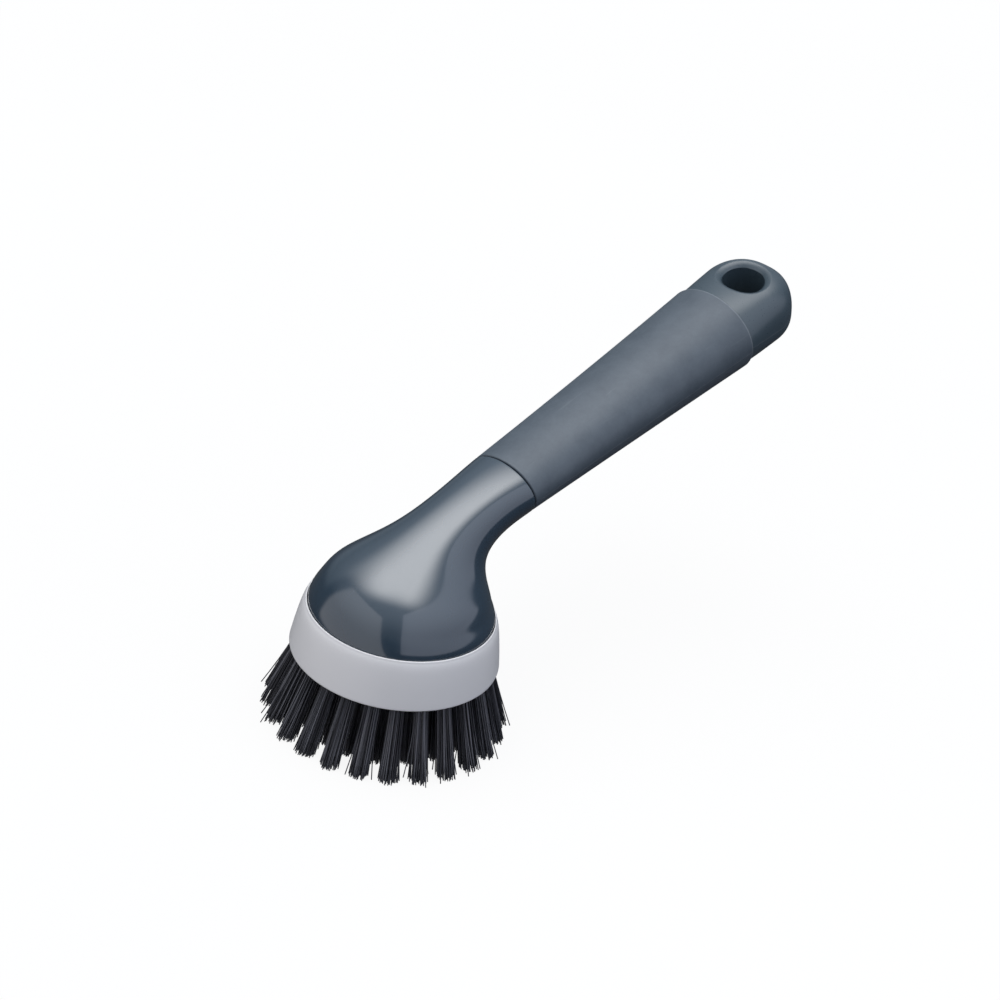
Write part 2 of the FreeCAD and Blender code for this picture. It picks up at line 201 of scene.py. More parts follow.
def piece(name: str, points: Array, faces: Array, ends: Optional[Array] = None) -> Object:
    """Closed piece from points in millimetres, turned so that its faces point outwards.

    Args:
        name: Name of the object.
        points: Places of the points.
        faces: Quads.
        ends: Triangles that close the ends.

    Returns:
        The new object, smooth apart from its crisp edges.
    """
    ends = np.zeros((0, 3), int) if ends is None else ends
    halves = np.concatenate([faces[:, [0, 1, 2]], faces[:, [0, 2, 3]], ends])
    if volume(points, halves) < 0:
        faces, ends = faces[:, ::-1], ends[:, ::-1]
    mesh = bpy.data.meshes.new(name)
    mesh.from_pydata((points * MM).tolist(), [], faces.tolist() + ends.tolist())
    mesh.polygons.foreach_set("use_smooth", np.ones(len(mesh.polygons), bool))
    mesh.set_sharp_from_angle(angle=CRISP_TURN)
    return add_object(name, mesh)


def ring_piece(name: str, points: Array, close_rows: bool) -> Object:
    """Closed piece from rings of points that join up, or whose first and last rings close to a point.

    Args:
        name: Name of the object.
        points: Rings, points in a ring, and places.
        close_rows: Whether the last ring joins the first.

    Returns:
        The new object.
    """
    rows, columns, _ = points.shape
    flat = points.reshape(-1, 3)
    faces = quads(rows, columns, close_rows)
    if close_rows:
        return piece(name, flat, faces)
    poles = np.stack([points[0].mean(axis=0), points[-1].mean(axis=0)])
    first = fan(np.arange(columns), rows * columns)
    last = fan(np.arange((rows - 1) * columns, rows * columns), rows * columns + 1)[:, ::-1]
    return piece(name, np.concatenate([flat, poles]), faces, np.concatenate([first, last]))


def merge_doubles(made: Object) -> None:
    """Joins points of an object's mesh that fell on the same place.

    Args:
        made: The object.
    """
    work = bmesh.new()
    work.from_mesh(made.data)
    bmesh.ops.remove_doubles(work, verts=work.verts, dist=SAME_POINT)
    work.to_mesh(made.data)
    work.free()


def settle(made: Object, body: Body, node: str, finish: Material) -> None:
    """Puts a piece on its body, in place of its CAD node, in its finish.

    Args:
        made: The piece.
        body: Body that it rides on.
        node: CAD node that it stands for.
        finish: Its material.
    """
    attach(made, body.value)
    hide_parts(node)
    made.data.materials.append(finish)
    LOG.info("%s stands for %s on %s, %d faces", made.name, node, body.value, len(made.data.polygons))


@dataclass
class Rings:
    """Oval rings across a path: middles, half widths along Y, and rises to the top and to the underside."""

    middle: Array
    half_width: Array
    top: Array
    under: Array

    @classmethod
    def joined(cls, runs: Sequence["Rings"]) -> "Rings":
        """All rings of several runs, one after the other."""
        return cls(*(np.concatenate([getattr(run, field) for run in runs])
                     for field in ("middle", "half_width", "top", "under")))

    @classmethod
    def circles(cls, radius: Array, height: Array) -> "Rings":
        """Level circles about the head's axis."""
        rise = radius[:, None] * FRONT
        return cls(height[:, None] * UPRIGHT, radius, rise, -rise)

    def points(self, columns: int) -> Array:
        """Points of all rings.

        At the angle t a point lies at the middle, plus the half width times cos t across, plus sin t times
        the rise to the top or, where sin t is negative, to the underside.

        Args:
            columns: Points in a ring.

        Returns:
            Rings, points in a ring, and places.
        """
        turn = np.linspace(0, FULL_TURN, columns, endpoint=False)[None, :, None]
        across = np.cos(turn) * self.half_width[:, None, None] * ACROSS
        up = np.clip(np.sin(turn), 0, None) * self.top[:, None]
        down = np.clip(-np.sin(turn), 0, None) * self.under[:, None]
        return self.middle[:, None] + across + up + down


@dataclass(frozen=True)
class HandleLine:
    """The handle's own line, from the neck's seam to the hanging end, and the grip's taper along it."""

    reach: float = 42.3
    height: float = 72.1
    angle: float = 14.85
    length: float = 106.2
    seam_half_width: float = 13.5
    seam_half_height: float = 9.2
    end_half_width: float = 17.8
    end_half_height: float = 14.7

    @property
    def along(self) -> Array:
        """Direction from the seam to the hanging end."""
        return np.array([np.cos(np.radians(self.angle)), 0, np.sin(np.radians(self.angle))])

    @property
    def normal(self) -> Array:
        """Direction out of the handle's top."""
        return np.array([-np.sin(np.radians(self.angle)), 0, np.cos(np.radians(self.angle))])

    @property
    def start(self) -> Array:
        """Middle of the seam."""
        return np.array([self.reach, 0, self.height])

    def half_width(self, station: Array) -> Array:
        """Half width of the plain taper at a distance from the seam."""
        return self.seam_half_width + (self.end_half_width - self.seam_half_width) * station / self.length

    def half_height(self, station: Array) -> Array:
        """Half height of the plain taper at a distance from the seam."""
        return self.seam_half_height + (self.end_half_height - self.seam_half_height) * station / self.length

    def rings(self, station: Array, inset: Any, waist: Any = 0.0, swell: Any = 0.0) -> Rings:
        """Rings across the line: the plain taper, drawn in by inset and waist, its underside swollen.

        Args:
            station: Distances from the seam.
            inset: How far all rings, or each one, are drawn in.
            waist: How far their sides and tops are drawn in as well.
            swell: How far their undersides stand out.

        Returns:
            The rings.
        """
        height = self.half_height(station) - inset
        return Rings(
            self.start + station[:, None] * self.along, self.half_width(station) - inset - waist,
            (height - waist)[:, None] * self.normal, -(height + swell)[:, None] * self.normal)


class Moulding:
    """A moulded piece that stands for one CAD node: a closed surface through rings of points.

    The last ring joins the first if JOINED, and some points fall on one place if DOUBLES.
    """

    NAME: ClassVar[str]
    NODE: ClassVar[str]
    SLOT: ClassVar[Slot]
    BODY: ClassVar[Body] = Body.HANDLE
    JOINED: ClassVar[bool] = True
    DOUBLES: ClassVar[bool] = False

    def points(self) -> Array:
        """Rings, points in a ring, and places."""
        raise NotImplementedError

    def build(self, finish: Material) -> Object:
        """Closed surface through the rings, settled in its finish.

        Args:
            finish: Its material.

        Returns:
            The piece.
        """
        made = ring_piece(self.NAME, self.points(), self.JOINED)
        if self.DOUBLES:
            merge_doubles(made)
        settle(made, self.BODY, self.NODE, finish)
        return made


@dataclass
class DomeAndNeck(Moulding):
    """Dome over the cup, neck up to the seam, and the core that carries the grip."""

    NAME = "dome_and_neck"
    NODE = "handle_body"
    SLOT = Slot.HANDLE_GLOSS
    JOINED = False
    # Top along, top up, under along, under up, as shares of the way from rim to seam, and the width left,
    # at even steps.
    SHARES = np.array([
        (0.0, 0.0, 0.0, 0.0, 1.0),
        (0.03, 0.18, -0.05, 0.16, 0.87),
        (0.14, 0.39, -0.10, 0.29, 0.65),
        (0.40, 0.63, -0.04, 0.63, 0.13),
        (0.71, 0.85, 0.59, 0.88, -0.05),
        (1.0, 1.0, 1.0, 1.0, 0.0),
    ])
    FIRST_SLOPES = np.array([0.0, 0.72, 0.1, 1.07, 0.0])

    line: HandleLine
    rim_radius: float = 29.9
    rim_height: float = 40.7
    spigot_depth: float = 7.0
    wall: float = 3.0
    cavity_rise: float = 12.0
    face_inset: float = 0.8
    core_inset: float = 2.4
    seam_edge: float = 0.35
    spigot_edge: float = 0.5
    columns: int = 192
    neck_steps: int = 150
    seam_steps: int = 7
    cavity_steps: int = 25
    spigot_steps: int = 5

    def neck_rings(self) -> Rings:
        """Oval rings from the round rim to the seam, their tops and undersides on two smooth lines.

        Returns:
            The rings, drawn in round the seam's edge.
        """
        line = self.line
        half = line.seam_half_height * line.normal
        radius, height = self.rim_radius, self.rim_height
        top, under = line.start + half, line.start - half
        # Values where the shares are 0, and where they are 1.
        none = np.array([-radius, height, radius, height, line.seam_half_width])
        full = np.array([top[0], top[2], under[0], under[2], radius])
        run = np.linalg.norm(top - (-radius, 0, height))
        distance, inset = round_edge(self.seam_edge, self.seam_steps)
        at = np.concatenate([
            np.linspace(0, 1 - self.seam_edge / run, self.neck_steps), 1 - distance[-2::-1] / run])
        drawn = np.concatenate([np.zeros(self.neck_steps), inset[-2::-1]])
        values = none + (full - none) * spline(self.SHARES, at, self.FIRST_SLOPES)
        top, under = (np.insert(values[:, pair], 1, 0, axis=1) for pair in ([0, 1], [2, 3]))
        rise = (top - under) / 2
        rise = rise * (1 - drawn / np.linalg.norm(rise, axis=1))[:, None]
        return Rings((top + under) / 2, values[:, 4] - drawn, rise, -rise)

    def cavity_rings(self) -> Rings:
        """Level circles down the hollow under the dome, round the spigot's foot and up to the rim.

        Returns:
            The rings. The hollow's top is half an oval.
        """
        inner = self.rim_radius - self.wall
        turn = np.linspace(0, QUARTER_TURN, self.cavity_steps)[1:]
        foot = self.rim_height - self.spigot_depth
        distance, inset = round_edge(self.spigot_edge, self.spigot_steps)
        radius = np.concatenate([
            inner * np.sin(turn), inner + inset[::-1], self.rim_radius - inset])
        height = np.concatenate([
            self.rim_height + self.cavity_rise * np.cos(turn), foot + distance[::-1], foot + distance])
        return Rings.circles(radius, height)

    def core_rings(self) -> Rings:
        """Rings in along the seam's face and out along the core under the grip.

        Returns:
            The rings.
        """
        inset = np.array([self.face_inset, self.core_inset, self.core_inset, self.core_inset])
        station = np.array([0.0, 0.0, self.line.length / 2, self.line.length])
        return self.line.rings(station, inset)

    def points(self) -> Array:
        """Points of the cavity, the neck and the core."""
        runs = [self.cavity_rings(), self.neck_rings(), self.core_rings()]
        return Rings.joined(runs).points(self.columns)


@dataclass
class SoftGrip(Moulding):
    """Soft sleeve with a slight waist, round edges and a fuller underside."""

    NAME = "soft_grip_sleeve"
    NODE = "soft_grip"
    SLOT = Slot.SOFT_GRIP

    line: HandleLine
    seam_gap: float = 0.5
    wall: float = 2.3
    waist: float = 0.3
    swell: float = 0.4
    near_edge: float = 0.45
    far_edge: float = 0.4
    columns: int = 192
    steps: int = 90
    edge_steps: int = 7
    inner_steps: int = 4

    def outside(self) -> Rings:
        """Rings along the outside: the taper less a waist that is fullest half way, with both edges round.

        Returns:
            The rings.
        """
        near, near_inset = round_edge(self.near_edge, self.edge_steps)
        far, far_inset = round_edge(self.far_edge, self.edge_steps)
        start, end = self.seam_gap, self.line.length
        middle = np.linspace(start + self.near_edge, end - self.far_edge, self.steps)[1:-1]
        station = np.concatenate([start + near, middle, end - far[::-1]])
        inset = np.concatenate([near_inset, np.zeros(len(middle)), far_inset[::-1]])
        fullness = bow((station - start) / (end - start))
        return self.line.rings(station, inset, self.waist * fullness, self.swell * fullness)

    def inside(self) -> Rings:
        """Rings back along the inside, a little off the core."""
        station = np.linspace(self.line.length, self.seam_gap, self.inner_steps)
        return self.line.rings(station, self.wall)

    def points(self) -> Array:
        """Points of the outside and the inside."""
        return Rings.joined([self.outside(), self.inside()]).points(self.columns)


@dataclass
class HangingEnd(Moulding):
    """Rounded end of the handle with the hanging hole, worked out about the hole's axis."""

    NAME = "hanging_end"
    NODE = "end_cap"
    SLOT = Slot.END_SATIN
    DOUBLES = True

    line: HandleLine
    gap: float = 0.2
    setback: float = 0.8
    reach: float = 16.1
    radius: float = 17.1
    crown: float = 14.8
    belly: float = 9.6
    drop: float = 1.0
    fullness: float = 2.6
    bore_radius: float = 7.4
    mouth_flare: float = 2.2
    mouth_depth: float = 1.35
    mouth_turns: Span = (16.0, 46.0)
    first_share: float = 0.03
    round_columns: int = 180
    face_columns: int = 60
    steps: int = 40
    mouth_steps: int = 12
    wall_steps: int = 6

    @property
    def mouth_radius(self) -> float:
        """Radius of the hole's mouth at the crown."""
        return self.bore_radius + self.mouth_flare

    def outline(self, turn: Array) -> Array:
        """Distance from the hole's axis to the outline: a half circle, straight sides and a flat near face.

        Args:
            turn: Directions about the hole's axis.

        Returns:
            One distance for each direction.
        """
        toward_grip = np.clip(-np.cos(turn), SAME_POINT, None)
        side = self.radius / np.clip(np.abs(np.sin(turn)), SAME_POINT, None)
        face = (self.reach - self.gap) / toward_grip
        return np.where(np.cos(turn) >= 0, self.radius, np.minimum(side, face))

    def heights(self, turn: Array, distance: Array, rise: float) -> Array:
        """Shape of the top, or with the belly's rise of the underside, over its widest line.

        Across the handle the height is rise times (1 - share to the power f) to the power 1/f, the share
        being that of the half width there. The rise itself falls away by the same law towards the round end's
        tip, and runs straight to the grip's own size on the other side.

        Args:
            turn: Directions about the hole's axis.
            distance: Distances from that axis.
            rise: Height over the hole's axis.

        Returns:
            Places along and across the handle, and heights over the widest line.
        """
        along = distance * np.cos(turn)
        across = distance * np.sin(turn)
        back = np.clip(-along / (self.reach - self.gap), 0, 1)
        ahead = np.clip(along / self.radius, 0, 1)
        half_width = self.radius * np.sqrt(np.clip(1 - ahead ** 2, 0, 1))
        share = np.clip(np.abs(across) / np.clip(half_width, SAME_POINT, None), 0, 1)
        fullness = self.fullness + (2 - self.fullness) * back
        start_height = self.line.end_half_height - self.setback
        full = (rise + (start_height - rise) * back) * (1 - ahead ** self.fullness) ** (1 / self.fullness)
        start_width = self.line.end_half_width - self.setback
        across = across * (1 + (start_width / self.radius - 1) * back)
        return np.stack([along, across, full * (1 - share ** fullness) ** (1 / fullness)])

    def half(self, turn: Array, rise: float) -> Array:
        """One half of the end from the bore, round the mouth and out over the crown to the outline.

        The mouth is part of an oval: between its two turns, the first at the crown and the last at the bore,
        its inset grows with the sine of the angle and its depth falls with the cosine. Over the crown the
        distance grows with the sine of an even angle, so that the points close up towards the outline.

        Args:
            turn: Directions about the hole's axis.
            rise: Height over the hole's axis.

        Returns:
            Places along and across the handle, and heights over the widest line.
        """
        mouth = self.mouth_radius
        start, end = np.radians(self.mouth_turns)
        curve = np.linspace(end, start, self.mouth_steps)[:-1, None]
        inward = self.mouth_flare * (np.sin(curve) - np.sin(start)) / (np.sin(end) - np.sin(start))
        depth = self.mouth_depth * (np.cos(start) - np.cos(curve)) / (np.cos(start) - np.cos(end))
        along, across, height = self.heights(turn[None], np.full((1, 1), mouth), rise)
        drawn = (mouth - inward) / mouth
        flared = np.stack([along * drawn, across * drawn, height - depth])
        step = np.sin(np.linspace(0, QUARTER_TURN, self.steps))
        share = np.concatenate([[0.0, self.first_share], step[1:]])[:, None]
        out = self.heights(turn[None], mouth + (self.outline(turn)[None] - mouth) * share, rise)
        return np.concatenate([flared, out], axis=1)

    def turns(self) -> Array:
        """Directions about the hole's axis, with two of them through the near face's corners.

        Returns:
            The directions.
        """
        corner = np.arctan2(self.radius, self.gap - self.reach)
        round_part = np.linspace(-corner, corner, self.round_columns, endpoint=False)
        face = np.linspace(corner, FULL_TURN - corner, self.face_columns, endpoint=False)
        return np.concatenate([round_part, face])

    def points(self) -> Array:
        """Rings over the upper half, down the near face, back over the lower half and up the bore.

        Returns:
            Rings, points in a ring, and places.
        """
        turn = self.turns()
        upper, lower = self.half(turn, self.crown), self.half(turn, self.belly)
        lower[2] *= -1
        share = np.linspace(0, 1, self.wall_steps)[1:-1][:, None]
        face = upper[:, -1:] + (lower[:, -1:] - upper[:, -1:]) * share
        bore = lower[:, :1] + (upper[:, :1] - lower[:, :1]) * share
        along, across, height = np.concatenate([upper, face, lower[:, ::-1], bore], axis=1)
        back = np.clip(-along / (self.reach - self.gap), 0, 1)
        level = height - self.drop * (1 - back)
        line = self.line
        station = line.length + self.reach + along
        return (line.start + station[..., None] * line.along + across[..., None] * ACROSS
                + level[..., None] * line.normal)


@dataclass
class BrushCup(Moulding):
    """Pale cup round the dome's rim, with the plate that holds the tufts."""

    NAME = "brush_cup"
    NODE = "brush_block"
    BODY = Body.HEAD
    SLOT = Slot.BLOCK_PALE
    JOINED = False

    foot: float = 24.2
    plate_top: float = 33.5
    rim_height: float = 40.7
    bore: float = 30.15
    lip_radius: float = 31.2
    base_radius: float = 33.8
    barrel: float = 0.16
    foot_bevel: float = 0.5
    lip_round: float = 0.42
    lip_draw: float = 0.55
    lip_reach: float = 1.4
    slack: float = 0.1
    columns: int = 192
    edge_steps: int = 10
    wall_steps: int = 40

    def wall(self) -> tuple[Array, Array]:
        """Ring's outside, from over the foot's bevel to under the round lip.

        The radius runs straight from the base to the lip, stands out by a barrel that is fullest half way,
        and is drawn in towards the lip by an amount that fades with the distance from it.

        Returns:
            Radii and heights.
        """
        height = np.linspace(self.foot + self.foot_bevel, self.rim_height - self.lip_round, self.wall_steps)
        share = (height - height[0]) / (height[-1] - height[0])
        straight = self.base_radius + (self.lip_radius - self.base_radius) * share
        drawn = self.lip_draw * np.exp((height - height[-1]) / self.lip_reach)
        return straight + self.barrel * bow(share) - drawn, height

    def profile(self) -> tuple[Array, Array]:
        """From the axis out under the plate, up the tapered ring, over the lip and in again.

        Returns:
            Radii and heights.
        """
        wall_radius, wall_height = self.wall()
        bevel, bevel_inset = round_edge(self.foot_bevel, self.edge_steps)
        lip, lip_inset = round_edge(self.lip_round, self.edge_steps)
        slack, bore = self.slack, self.bore
        inside = (self.plate_top + self.rim_height) / 2
        radius = np.concatenate([
            [slack, self.base_radius / 2, self.base_radius - 2 * self.foot_bevel],
            wall_radius[0] - bevel_inset, wall_radius[1:-1], (wall_radius[-1] - lip_inset)[::-1],
            [bore + slack / 2, bore, bore, bore, bore - slack, bore / 2, slack]])
        height = np.concatenate([
            [self.foot] * 3,
            self.foot + bevel, wall_height[1:-1], (self.rim_height - lip)[::-1],
            [self.rim_height, self.rim_height - slack, inside, self.plate_top + slack],
            [self.plate_top] * 3])
        return radius, height

    def points(self) -> Array:
        """Full turn of the profile about the head's axis."""
        return Rings.circles(*self.profile()).points(self.columns)


@dataclass
class Tufts:
    """Tufts of fine filaments that fan out from the plate to ragged tips."""

    plate: float = 24.2
    ring_radius: float = 29.2
    splay: float = 17.5
    root_radius: float = 2.25
    tip_radius: float = 3.12
    share_jitter: float = 0.03
    turn_jitter: float = 0.12
    filament_radius: float = 0.18
    filaments: int = 100
    sides: int = 5
    steps: int = 6
    sunk: float = 0.04
    ragged: float = 0.7
    ragged_powers: Span = (1.3, 2.2)
    bend: float = 0.3
    stray_bend: float = 1.3
    stray_share: float = 0.1

    def tuft(self, row: Row, turn: float, seed: int) -> Tuft:
        """Points, tones and reaches of one tuft's filaments.

        Filaments stand in a sunflower pattern: the i-th lies at the root of (i + 1/2) / n of the radius,
        turned by the golden angle. A filament runs down the tuft's leaning axis, its distance from the axis
        grows evenly to the tip, and a bend that grows with the square of the way carries it aside. Each ends
        at its own height over the plane of the tips.

        Args:
            row: Row of the tuft.
            turn: Its angle about the head's axis in radians.
            seed: Seed of its random numbers.

        Returns:
            Places (filaments, steps, sides, 3), a tone for each filament, and the way along it for each step.
        """
        _, _, radius_share, splay_share = row.value
        rng = np.random.default_rng(seed)
        count = self.filaments
        number = np.arange(count)
        share = np.sqrt((number + 0.5) / count) + rng.normal(0, self.share_jitter, count)
        angle = number * GOLDEN_ANGLE + rng.uniform(0, FULL_TURN) + rng.normal(0, self.turn_jitter, count)
        tip_height = self.ragged * rng.beta(*self.ragged_powers, count)
        stray = rng.random(count) < self.stray_share
        aside = rng.normal(0, np.where(stray, self.stray_bend, self.bend), (2, count))
        tone = rng.random(count)

        lean = np.radians(self.splay * splay_share)
        out = np.array([np.cos(turn), np.sin(turn), 0.0])
        sideways = np.array([-np.sin(turn), np.cos(turn), 0.0])
        down = np.sin(lean) * out - np.cos(lean) * UPRIGHT
        outward = np.cos(lean) * out + np.sin(lean) * UPRIGHT
        base = self.ring_radius * radius_share * out + self.plate * UPRIGHT

        way = np.linspace(-self.sunk, 1, self.steps)
        spread = self.root_radius + (self.tip_radius - self.root_radius) * way
        spot = share * np.stack([np.cos(angle), np.sin(angle)])
        away, beside = spot[..., None] * spread + aside[..., None] * way ** 2
        length = (self.plate - tip_height + np.sin(lean) * away[:, -1]) / np.cos(lean)
        middle = (base + (length[:, None] * way)[..., None] * down
                  + away[..., None] * outward + beside[..., None] * sideways)
        side = FULL_TURN * np.arange(self.sides) / self.sides
        girth = self.filament_radius * (np.cos(side)[:, None] * outward + np.sin(side)[:, None] * sideways)
        points = middle[:, :, None] + girth
        points[..., 2] = np.maximum(points[..., 2], 0)
        return points, tone, np.clip(way, 0, 1)

    def filament_faces(self, count: int) -> tuple[Array, list[list[int]]]:
        """Side quads and end faces, outward, of filaments that follow one another in the list of points.

        Args:
            count: Number of filaments.

        Returns:
            Quads, and one polygon for each end.
        """
        size = self.steps * self.sides
        first = (np.arange(count) * size)[:, None, None]
        sides = (first + quads(self.steps, self.sides, False)[None]).reshape(-1, 4)[:, ::-1]
        root = (first[:, 0] + np.arange(self.sides)[None]).tolist()
        tip = (first[:, 0] + size - 1 - np.arange(self.sides)[None]).tolist()
        return sides, root + tip

    def bundle(self, name: str, node: str, tufts: Sequence[Tuft], finish: Material) -> Object:
        """One piece from one or more tufts, with each filament's tone and reach kept as attributes.

        Args:
            name: Name of the piece.
            node: CAD node that it stands for.
            tufts: Points, tones and reaches.
            finish: Its material.

        Returns:
            The piece.
        """
        points = np.concatenate([tuft[0] for tuft in tufts])
        tone = np.concatenate([tuft[1] for tuft in tufts])
        shape = points.shape[:3]
        sides, ends = self.filament_faces(shape[0])
        mesh = bpy.data.meshes.new(name)
        mesh.from_pydata((points.reshape(-1, 3) * MM).tolist(), [], sides.tolist() + ends)
        smooth = np.arange(len(mesh.polygons)) < len(sides)
        mesh.polygons.foreach_set("use_smooth", smooth)
        for label, values in (("tone", tone[:, None, None]), ("reach", tufts[0][2][None, :, None])):
            layer = mesh.attributes.new(label, "FLOAT", "POINT")
            layer.data.foreach_set("value", np.broadcast_to(values, shape).astype(np.float32).ravel())
        made = add_object(name, mesh)
        settle(made, Body.HEAD, node, finish)
        return made

    def build(self, finish: Material) -> list[Object]:
        """All tufts: one piece for each in the outer rows, and one for the few in the middle.

        Args:
            finish: Their material.

        Returns:
            The pieces.
        """
        made, core, seed = [], [], 0
        for row in Row:
            label, count, _, _ = row.value
            for step in range(count):
                seed += 1
                tuft = self.tuft(row, np.pi + FULL_TURN * step / count, seed)
                if row in (Row.CORE, Row.CENTRE):
                    core.append(tuft)
                else:
                    node = f"{label}_{step + 1:02d}"
                    made.append(self.bundle(f"{node}_bristles", node, [tuft], finish))
        made.append(self.bundle("core_bristles", "core_tufts", core, finish))
        return made


@dataclass(frozen=True)
class Noise:
    """Soft noise: its features per metre, steps of finer noise, and how strong each finer step is."""

    scale: float
    detail: float = 2.0
    rough: float = 0.5


@dataclass
class Nodes:
    """A node tree under way."""

    tree: bpy.types.NodeTree

    def put(self, socket: Socket, value: Any) -> None:
        """Links a socket from another, or sets it to a value.

        Args:
            socket: Input of a node.
            value: Output of a node, or a plain value.
        """
        if isinstance(value, Socket):
            self.tree.links.new(value, socket)
        else:
            socket.default_value = value

    def add(self, kind: str, inputs: Optional[Mapping[Any, Any]] = None, **settings: Any) -> bpy.types.Node:
        """New node with its settings, and its inputs linked from sockets or set to values.

        Args:
            kind: Blender's name of the node.
            inputs: Sockets or values by input name or number.
            settings: Properties of the node.

        Returns:
            The node.
        """
        node = self.tree.nodes.new(kind)
        for key, value in settings.items():
            setattr(node, key, value)
        for key, value in (inputs or {}).items():
            self.put(node.inputs[key], value)
        return node

    def math(self, operation: str, *values: Any) -> Socket:
        """Result of a sum, product or other step on one or more numbers."""
        return self.add("ShaderNodeMath", dict(enumerate(values)), operation=operation).outputs[0]

    def vector(self, operation: str, inputs: Mapping[Any, Any]) -> bpy.types.Node:
        """Node that works on vectors."""
        return self.add("ShaderNodeVectorMath", inputs, operation=operation)

    def axes(self, vector: Socket) -> Sequence[Socket]:
        """The three parts of a vector."""
        return self.add("ShaderNodeSeparateXYZ", {0: vector}).outputs

    def remap(self, value: Any, source: Span, target: Span, smooth: bool = False) -> Socket:
        """Number carried from one range to another and held inside it, evenly or with eased ends."""
        kind = "SMOOTHSTEP" if smooth else "LINEAR"
        return self.add("ShaderNodeMapRange", {
            "Value": value, "From Min": source[0], "From Max": source[1],
            "To Min": target[0], "To Max": target[1],
        }, interpolation_type=kind, clamp=True).outputs[0]

    def noise(self, vector: Socket, noise: Noise) -> Socket:
        """Noise at a place."""
        return self.add("ShaderNodeTexNoise", {
            "Vector": vector, "Scale": noise.scale, "Detail": noise.detail, "Roughness": noise.rough,
        }).outputs[0]

    def blend(self, share: Any, first: Any, second: Any) -> Socket:
        """Colour between two colours.

        Args:
            share: Share of the second.
            first: Socket or colour.
            second: Socket or colour.

        Returns:
            The colour.
        """
        mix = self.add("ShaderNodeMix", {"Factor": share}, data_type="RGBA")
        for key, value in zip(MIX_COLOURS, (first, second)):
            self.put(mix.inputs[key], value if isinstance(value, Socket) else (*value, 1.0))
        return mix.outputs[MIX_RESULT]


class Coat(Nodes):
    """A material under way, with the place on the piece and the shader at its end."""

    def __init__(self, name: str) -> None:
        """Starts an empty material with a shader.

        Args:
            name: Name of the material.
        """
        self.material = bpy.data.materials.new(name)
        self.material.use_nodes = True
        super().__init__(self.material.node_tree)
        self.tree.nodes.clear()
        self.place = self.add("ShaderNodeTexCoord").outputs["Object"]
        self.shader = self.add("ShaderNodeBsdfPrincipled")
        self.output = self.add("ShaderNodeOutputMaterial", {"Surface": self.shader.outputs[0]})

    def set(self, **sockets: Any) -> None:
        """Sets or links sockets of the shader, named with underscores for spaces."""
        for key, value in sockets.items():
            self.put(self.shader.inputs[key.replace("_", " ")], value)

    def bump(self, height: Socket, depth: float) -> None:
        """Raises the surface by a height between 0 and 1 times a depth in millimetres."""
        bump = self.add("ShaderNodeBump", {"Height": height, "Distance": depth * MM, "Strength": 1.0})
        self.set(Normal=bump.outputs[0])

    def turned(self, line: HandleLine, stretch: Triple = UNSTRETCHED) -> Socket:
        """Place in the handle's own frame, its axes divided by a stretch."""
        return self.add("ShaderNodeMapping", {
            "Vector": self.place, "Location": line.start * MM,
            "Rotation": (0.0, -np.radians(line.angle), 0.0), "Scale": stretch,
        }, vector_type="TEXTURE").outputs[0]

    def ridge(self, level: Socket, middle: Any, half_width: float) -> Socket:
        """Line that is 1 where a level meets its middle, and fades to 0 over a half width in millimetres."""
        off = self.math("ABSOLUTE", self.math("SUBTRACT", level, middle))
        return self.remap(off, (0.0, half_width * MM), FALL, True)


@dataclass(frozen=True)
class GlossPlastic:
    """Polished dark plastic with a faint depth of colour and the finest wipe marks."""

    line: HandleLine
    deep: Colour = (0.0245, 0.0462, 0.072)
    light: Colour = (0.032, 0.058, 0.088)
    cloud: Noise = Noise(70.0, 3.0)
    wipes: Noise = Noise(900.0, 3.0)
    wipe_stretch: Triple = (6.0, 1.0, 1.0)
    ripple: Noise = Noise(260.0)
    ripple_depth: float = 0.006
    roughness: Span = (0.16, 0.24)
    ior: float = 1.6
    coat_roughness: float = 0.05
    coat_ior: float = 1.8

    def material(self) -> Material:
        """Slow colour noise, and long fine noise that varies the roughness.

        Returns:
            The material.
        """
        coat = Coat("gloss_plastic")
        wipes = coat.noise(coat.turned(self.line, self.wipe_stretch), self.wipes)
        coat.set(
            Base_Color=coat.blend(coat.noise(coat.place, self.cloud), self.deep, self.light),
            Roughness=coat.remap(wipes, NOISE_BAND, self.roughness),
            IOR=self.ior, Coat_Weight=1.0, Coat_Roughness=self.coat_roughness, Coat_IOR=self.coat_ior)
        coat.bump(coat.noise(coat.place, self.ripple), self.ripple_depth)
        return coat.material


